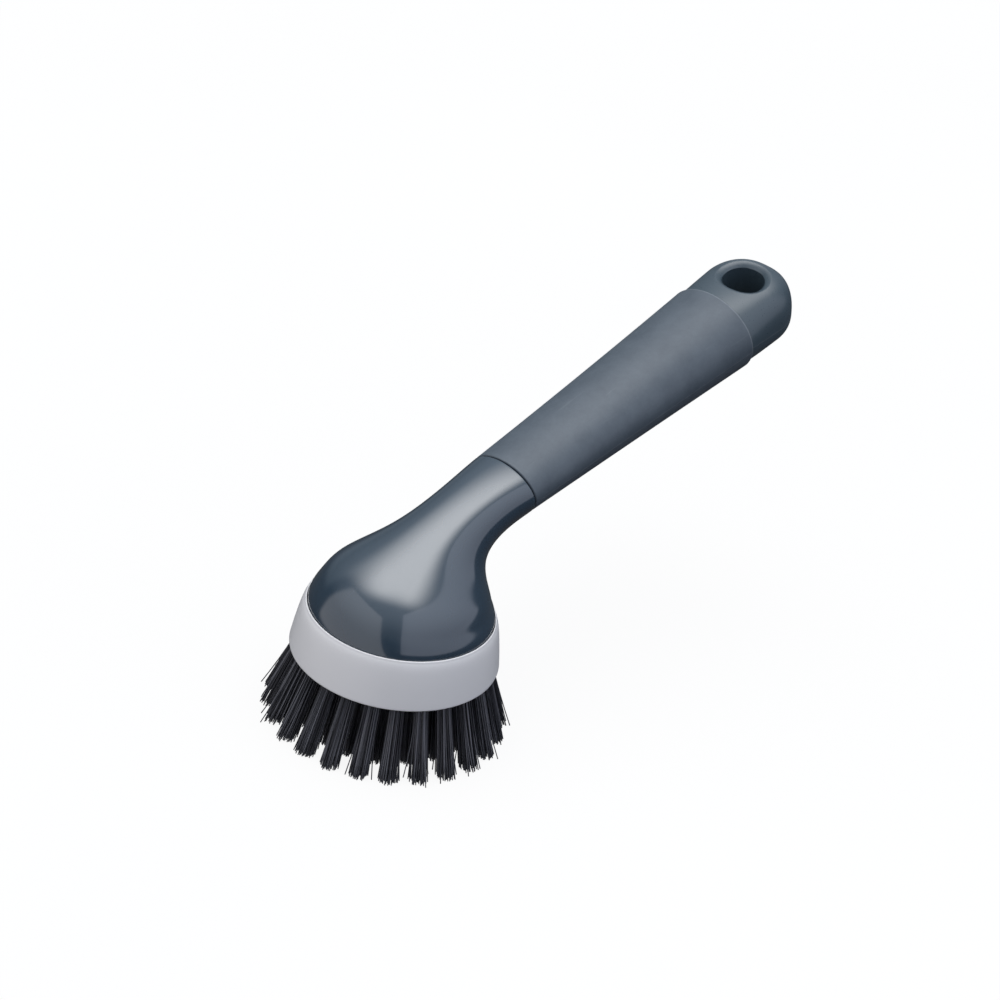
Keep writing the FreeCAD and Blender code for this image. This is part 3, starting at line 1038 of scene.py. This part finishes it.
@dataclass(frozen=True)
class SoftRubber:
    """Matt soft rubber: fine grain, faint long scuffs, a parting line on both flanks and a far edge, both with
    painted highlights.
    """

    line: HandleLine
    deep: Colour = (0.077, 0.099, 0.125)
    light: Colour = (0.105, 0.131, 0.160)
    cloud: Noise = Noise(90.0, 6.0, 0.8)
    cloud_band: Span = (0.34, 0.66)
    # Colour of the scuffs, and also of the painted highlight on the parting line's ridge.
    scuff_and_highlight: Colour = (0.20, 0.225, 0.25)
    scuffs: Noise = Noise(620.0, 3.0, 0.6)
    scuff_stretch: Triple = (14.0, 1.0, 1.0)
    scuff_band: Span = (0.62, 0.78)
    scuff_shares: Span = (0.0, 0.22)
    parting_level: float = -0.6
    parting_half_width: float = 0.16
    parting_highlight_share: float = 0.5
    # Painted highlight: paler rubber over the last 0.8 mm before the far edge, in this colour.
    lightened: Colour = (0.36, 0.39, 0.42)
    edge_highlight_band: Span = (0.8, 0.35)
    edge_highlight_shares: Span = (0.0, 0.35)
    grain: Noise = Noise(2600.0)
    grain_share: float = 0.12
    relief: float = 0.08
    roughness: Span = (0.42, 0.54)
    ior: float = 1.6

    def material(self) -> Material:
        """Grain and scuffs as noise, a ridge at the parting line's level lightened as a painted highlight, and
        paler rubber by the far end as a painted highlight.

        Returns:
            The material.
        """
        coat = Coat("soft_rubber")
        grain = coat.noise(coat.place, self.grain)
        scuffs = coat.noise(coat.turned(self.line, self.scuff_stretch), self.scuffs)
        station, _, level = coat.axes(coat.turned(self.line))
        ridge = coat.ridge(level, self.parting_level * MM, self.parting_half_width)
        near, far = (MM * (self.line.length - distance) for distance in self.edge_highlight_band)
        cloud = coat.remap(coat.noise(coat.place, self.cloud), self.cloud_band, RISE)
        colour = coat.blend(cloud, self.deep, self.light)
        scuffed = coat.remap(scuffs, self.scuff_band, self.scuff_shares, True)
        colour = coat.blend(scuffed, colour, self.scuff_and_highlight)
        # Painted highlight: the parting line's ridge is lightened as well as raised.
        colour = coat.blend(coat.math("MULTIPLY", ridge, self.parting_highlight_share), colour, self.scuff_and_highlight)
        # Painted highlight along the far edge.
        lightened = coat.remap(station, (near, far), self.edge_highlight_shares, True)
        coat.set(
            Base_Color=coat.blend(lightened, colour, self.lightened),
            Roughness=coat.remap(grain, NOISE_BAND, self.roughness), IOR=self.ior)
        coat.bump(coat.math("MULTIPLY_ADD", grain, self.grain_share, ridge), self.relief)
        return coat.material


@dataclass(frozen=True)
class SatinPlastic:
    """Satin dark plastic with a fine even grain and a thin parting line along its widest line, with a painted
    highlight.
    """

    line: HandleLine
    end: HangingEnd
    deep: Colour = (0.050, 0.076, 0.097)
    light: Colour = (0.066, 0.096, 0.121)
    cloud: Noise = Noise(60.0, 6.0, 0.6)
    # Painted highlight: colour of the parting line's ridge.
    parting: Colour = (0.19, 0.215, 0.24)
    parting_half_width: float = 0.2
    parting_highlight_share: float = 0.5
    grain: Noise = Noise(1900.0)
    grain_share: float = 0.2
    relief: float = 0.06
    roughness: Span = (0.27, 0.36)
    ior: float = 1.75

    def material(self) -> Material:
        """Slow colour noise under fine grain, and a ridge along the widest line outside the hole's mouth,
        lightened as a painted highlight.

        Returns:
            The material.
        """
        coat = Coat("satin_plastic")
        end = self.end
        grain = coat.noise(coat.place, self.grain)
        along, across, level = coat.axes(coat.turned(self.line))
        start, axis = MM * (self.line.length + end.gap), MM * (self.line.length + end.reach)
        widest = coat.remap(along, (start, axis), (0.0, -MM * end.drop))
        from_axis = coat.math("SUBTRACT", along, axis)
        square = coat.math("MULTIPLY_ADD", across, across, coat.math("POWER", from_axis, 2.0))
        outside = coat.math("GREATER_THAN", coat.math("SQRT", square), MM * end.mouth_radius)
        ridge = coat.math("MULTIPLY", coat.ridge(level, widest, self.parting_half_width), outside)
        colour = coat.blend(coat.noise(coat.place, self.cloud), self.deep, self.light)
        # Painted highlight: the ridge is lightened as well as raised.
        coat.set(
            Base_Color=coat.blend(coat.math("MULTIPLY", ridge, self.parting_highlight_share), colour, self.parting),
            Roughness=coat.remap(grain, NOISE_BAND, self.roughness), IOR=self.ior)
        coat.bump(coat.math("MULTIPLY_ADD", grain, self.grain_share, ridge), self.relief)
        return coat.material


@dataclass(frozen=True)
class PalePlastic:
    """Pale lilac-grey plastic with a soft shine and the faint marks of handling."""

    deep: Colour = (0.875, 0.86, 0.865)
    light: Colour = (0.915, 0.90, 0.905)
    cloud: Noise = Noise(45.0, 4.0, 0.6)
    wipes: Noise = Noise(60.0, 3.0)
    wipe_squeeze: Triple = (1.0, 1.0, 5.0)
    grain: Noise = Noise(1500.0)
    grain_depth: float = 0.008
    roughness: Span = (0.30, 0.34)
    ior: float = 1.5

    def material(self) -> Material:
        """Slow colour noise under fine grain, with level wipe marks in the roughness.

        Returns:
            The material.
        """
        coat = Coat("pale_plastic")
        level = coat.add("ShaderNodeMapping", {"Vector": coat.place, "Scale": self.wipe_squeeze}).outputs[0]
        coat.set(
            Base_Color=coat.blend(coat.noise(coat.place, self.cloud), self.deep, self.light),
            Roughness=coat.remap(coat.noise(level, self.wipes), NOISE_BAND, self.roughness), IOR=self.ior)
        coat.bump(coat.noise(coat.place, self.grain), self.grain_depth)
        return coat.material


@dataclass(frozen=True)
class Bristle:
    """Near-black filaments, each with its own tone, a little lighter towards the tips."""

    deep: Colour = (0.026, 0.026, 0.033)
    light: Colour = (0.20, 0.20, 0.226)
    tone_power: float = 2.2
    tip: Colour = (0.17, 0.172, 0.19)
    tip_band: Span = (0.82, 1.0)
    tip_shares: Span = (0.0, 0.6)
    grain: Noise = Noise(900.0)
    roughness: Span = (0.28, 0.42)
    ior: float = 1.5

    def material(self) -> Material:
        """Colour from the tone of each filament and the way along it.

        Returns:
            The material.
        """
        coat = Coat("bristle")
        tone, reach = (coat.add("ShaderNodeAttribute", attribute_name=name).outputs["Fac"]
                       for name in ("tone", "reach"))
        colour = coat.blend(coat.math("POWER", tone, self.tone_power), self.deep, self.light)
        # Colour lighter towards the tips.
        lightened = coat.remap(reach, self.tip_band, self.tip_shares, True)
        grain = coat.noise(coat.place, self.grain)
        coat.set(
            Base_Color=coat.blend(lightened, colour, self.tip),
            Roughness=coat.remap(grain, NOISE_BAND, self.roughness), IOR=self.ior)
        return coat.material


@dataclass(frozen=True)
class AnchorMetal:
    """Thin bright metal with rolling marks."""

    deep: Colour = (0.50, 0.49, 0.46)
    light: Colour = (0.66, 0.65, 0.62)
    grain: Noise = Noise(1800.0, 3.0)
    roughness: Span = (0.25, 0.4)

    def material(self) -> Material:
        """Fine noise in colour and roughness.

        Returns:
            The material.
        """
        coat = Coat("anchor_metal")
        grain = coat.noise(coat.place, self.grain)
        coat.set(
            Base_Color=coat.blend(grain, self.deep, self.light),
            Roughness=coat.remap(grain, NOISE_BAND, self.roughness), Metallic=1.0)
        return coat.material


def direction(azimuth: float, elevation: float) -> Array:
    """Unit vector from the brush: azimuth 0 is -Y, 90 is +X, elevation is over the floor, both in degrees."""
    turn, climb = np.radians(azimuth), np.radians(elevation)
    return np.array([np.sin(turn) * np.cos(climb), -np.cos(turn) * np.cos(climb), np.sin(climb)])


@dataclass(frozen=True)
class SoftBox:
    """A far soft light.

    Corners are azimuths and elevations in degrees, anticlockwise as the brush sees them. The light fades by a
    sine, soft, on each side of the edge that leaves each corner.
    """

    corners: tuple[Span, ...]
    soft: tuple[float, ...]
    brightness: float
    tint: Colour = (1.0, 1.0, 1.0)

    def light(self, nodes: Nodes, way: Socket) -> Socket:
        """Colour that the box gives in each direction of the world.

        Each edge lies on a plane through the brush. The light fades with the direction's distance from it.

        Args:
            nodes: The world's nodes.
            way: Direction into the world.

        Returns:
            The colour.
        """
        places = np.array([direction(*corner) for corner in self.corners])
        share: Any = self.brightness
        for place, following, soft in zip(places, np.roll(places, -1, axis=0), self.soft):
            normal = np.cross(place, following)
            normal = tuple(normal / np.linalg.norm(normal))
            inside = nodes.vector("DOT_PRODUCT", {0: way, 1: normal}).outputs["Value"]
            share = nodes.math("MULTIPLY", nodes.remap(inside, (-soft, soft), RISE, True), share)
        return nodes.vector("SCALE", {0: self.tint, "Scale": share}).outputs[0]


@dataclass(frozen=True)
class View:
    """The photo's view: a long lens over the front of the head, tilted a little to its side.

    Angles are degrees, lens and sensor are millimetres, other lengths are metres.
    """

    target: Triple = (0.0308, -0.0079, 0.0741)
    azimuth: float = -54.13
    elevation: float = 30.03
    roll: float = 10.48
    distance: float = 0.95
    lens: float = 108.0
    sensor: float = 36.0
    near: float = 0.01

    def build(self) -> None:
        """Places the scene's camera."""
        back = Vector(direction(self.azimuth, self.elevation))
        level = Vector(direction(self.azimuth + 90, 0))
        upright = back.cross(level)
        turn = np.radians(self.roll)
        right = level * np.cos(turn) + upright * np.sin(turn)
        up = back.cross(right)
        data = bpy.data.cameras.new("camera")
        data.sensor_width = self.sensor
        data.lens = self.lens
        data.clip_start = self.near
        made = add_object("camera", data)
        axes = Matrix((right, up, back)).transposed().to_4x4()
        made.matrix_world = Matrix.Translation(Vector(self.target) + back * self.distance) @ axes
        bpy.context.scene.camera = made


@dataclass
class Studio:
    """Floor and light. Heights are sines of the elevation."""

    floor_size: float = 12.0
    floor_colour: Colour = (0.86, 0.86, 0.86)
    floor_cloud: Noise = Noise(3.0)
    floor_roughness: float = 0.9
    floor_shown: float = 0.9
    white: Colour = (1.0, 1.0, 1.0)
    floor_glow: Colour = (0.05, 0.05, 0.05)
    floor_heights: Span = (-0.7, -0.35)
    low_glow: Colour = (0.052, 0.060, 0.072)
    high_glow: Colour = (0.48, 0.53, 0.59)
    glow_heights: Span = (0.2, 1.0)
    overhead: SoftBox = SoftBox(
        ((-17.0, 65.5), (69.0, 52.7), (-174.0, 43.0), (-125.0, 60.0)), (0.2, 0.4, 0.21, 0.17), 2.7)
    left_card: SoftBox = SoftBox(
        ((-159.0, -15.0), (-57.0, -37.0), (-76.0, 44.0), (-154.0, 42.0)), (0.12, 0.03, 0.02, 0.07), 0.465,
        (1.0, 0.99, 1.02))
    right_card: SoftBox = SoftBox(
        ((-44.0, -7.0), (68.0, 5.0), (42.0, 49.0), (-42.0, 56.0)), (0.05, 0.04, 0.025, 0.02), 0.48,
        (0.93, 0.97, 1.12))
    back_glow: SoftBox = SoftBox(
        ((115.0, -12.0), (-172.0, 5.0), (-175.0, 48.0), (115.0, 48.0)), (0.12, 0.1, 0.15, 0.15), 0.14,
        (0.85, 1.0, 1.12))
    rim_light: SoftBox = SoftBox(
        ((86.0, 0.0), (135.0, -8.0), (130.0, 55.0), (84.0, 55.0)), (0.1, 0.12, 0.12, 0.08), 0.14,
        (0.93, 1.0, 1.08))

    def world(self) -> None:
        """World with the soft boxes for the brush and plain white for the camera."""
        world = bpy.data.worlds.new("studio")
        bpy.context.scene.world = world
        world.use_nodes = True
        world.node_tree.nodes.clear()
        nodes = Nodes(world.node_tree)
        way = nodes.add("ShaderNodeTexCoord").outputs["Generated"]
        height = nodes.axes(way)[2]
        total = nodes.blend(nodes.remap(height, self.glow_heights, RISE), self.low_glow, self.high_glow)
        total = nodes.blend(nodes.remap(height, self.floor_heights, FALL), total, self.floor_glow)
        for box in (self.overhead, self.left_card, self.right_card, self.back_glow, self.rim_light):
            total = nodes.vector("ADD", {0: total, 1: box.light(nodes, way)}).outputs[0]
        studio = nodes.add("ShaderNodeBackground", {"Color": total})
        plain = nodes.add("ShaderNodeBackground", {"Color": (*self.white, 1.0), "Strength": 1.0})
        rays = nodes.add("ShaderNodeLightPath").outputs
        seen = nodes.math("MAXIMUM", rays["Is Camera Ray"], rays["Is Transmission Ray"])
        both = nodes.add("ShaderNodeMixShader", {0: seen, 1: studio.outputs[0], 2: plain.outputs[0]})
        nodes.add("ShaderNodeOutputWorld", {"Surface": both.outputs[0]})

    def floor(self) -> None:
        """Pale floor under the tips, white to the camera apart from a faint shadow."""
        half = self.floor_size / 2
        corners = [(-half, -half, 0), (half, -half, 0), (half, half, 0), (-half, half, 0)]
        mesh = bpy.data.meshes.new("floor")
        mesh.from_pydata(corners, [], [(0, 1, 2, 3)])
        made = add_object("floor", mesh)
        coat = Coat("pale_floor")
        cloud = coat.noise(coat.place, self.floor_cloud)
        coat.set(Base_Color=coat.blend(cloud, self.floor_colour, self.white), Roughness=self.floor_roughness)
        glow = coat.add("ShaderNodeEmission", {"Color": (*self.white, 1.0), "Strength": 1.0})
        seen = coat.add("ShaderNodeLightPath").outputs["Is Camera Ray"]
        shown = coat.math("MULTIPLY", seen, self.floor_shown)
        both = coat.add("ShaderNodeMixShader", {0: shown, 1: coat.shader.outputs[0], 2: glow.outputs[0]})
        coat.put(coat.output.inputs["Surface"], both.outputs[0])
        mesh.materials.append(coat.material)
        made.visible_diffuse = False
        made.visible_glossy = False

    def build(self) -> None:
        """Sets up the light, the floor and the plain view transform."""
        self.world()
        self.floor()
        bpy.context.scene.view_settings.view_transform = "Standard"


def dress_anchors(finish: Material) -> None:
    """Gives the metal anchors, whose CAD shape stays, their finish.

    Args:
        finish: Their material.
    """
    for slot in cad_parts["tuft_anchors"].material_slots:
        slot.material = finish
    LOG.info("tuft_anchors keep their shape")


def main() -> None:
    """Builds the pieces from the dome to the bristles, sets the stage and places the camera."""
    logging.basicConfig(level=logging.INFO, format="%(name)s: %(message)s")
    line = HandleLine()
    end = HangingEnd(line)
    DomeAndNeck(line).build(GlossPlastic(line).material())
    SoftGrip(line).build(SoftRubber(line).material())
    end.build(SatinPlastic(line, end).material())
    BrushCup().build(PalePlastic().material())
    Tufts().build(Bristle().material())
    dress_anchors(AnchorMetal().material())
    Studio().build()
    View().build()


if __name__ == "__main__":
    main()
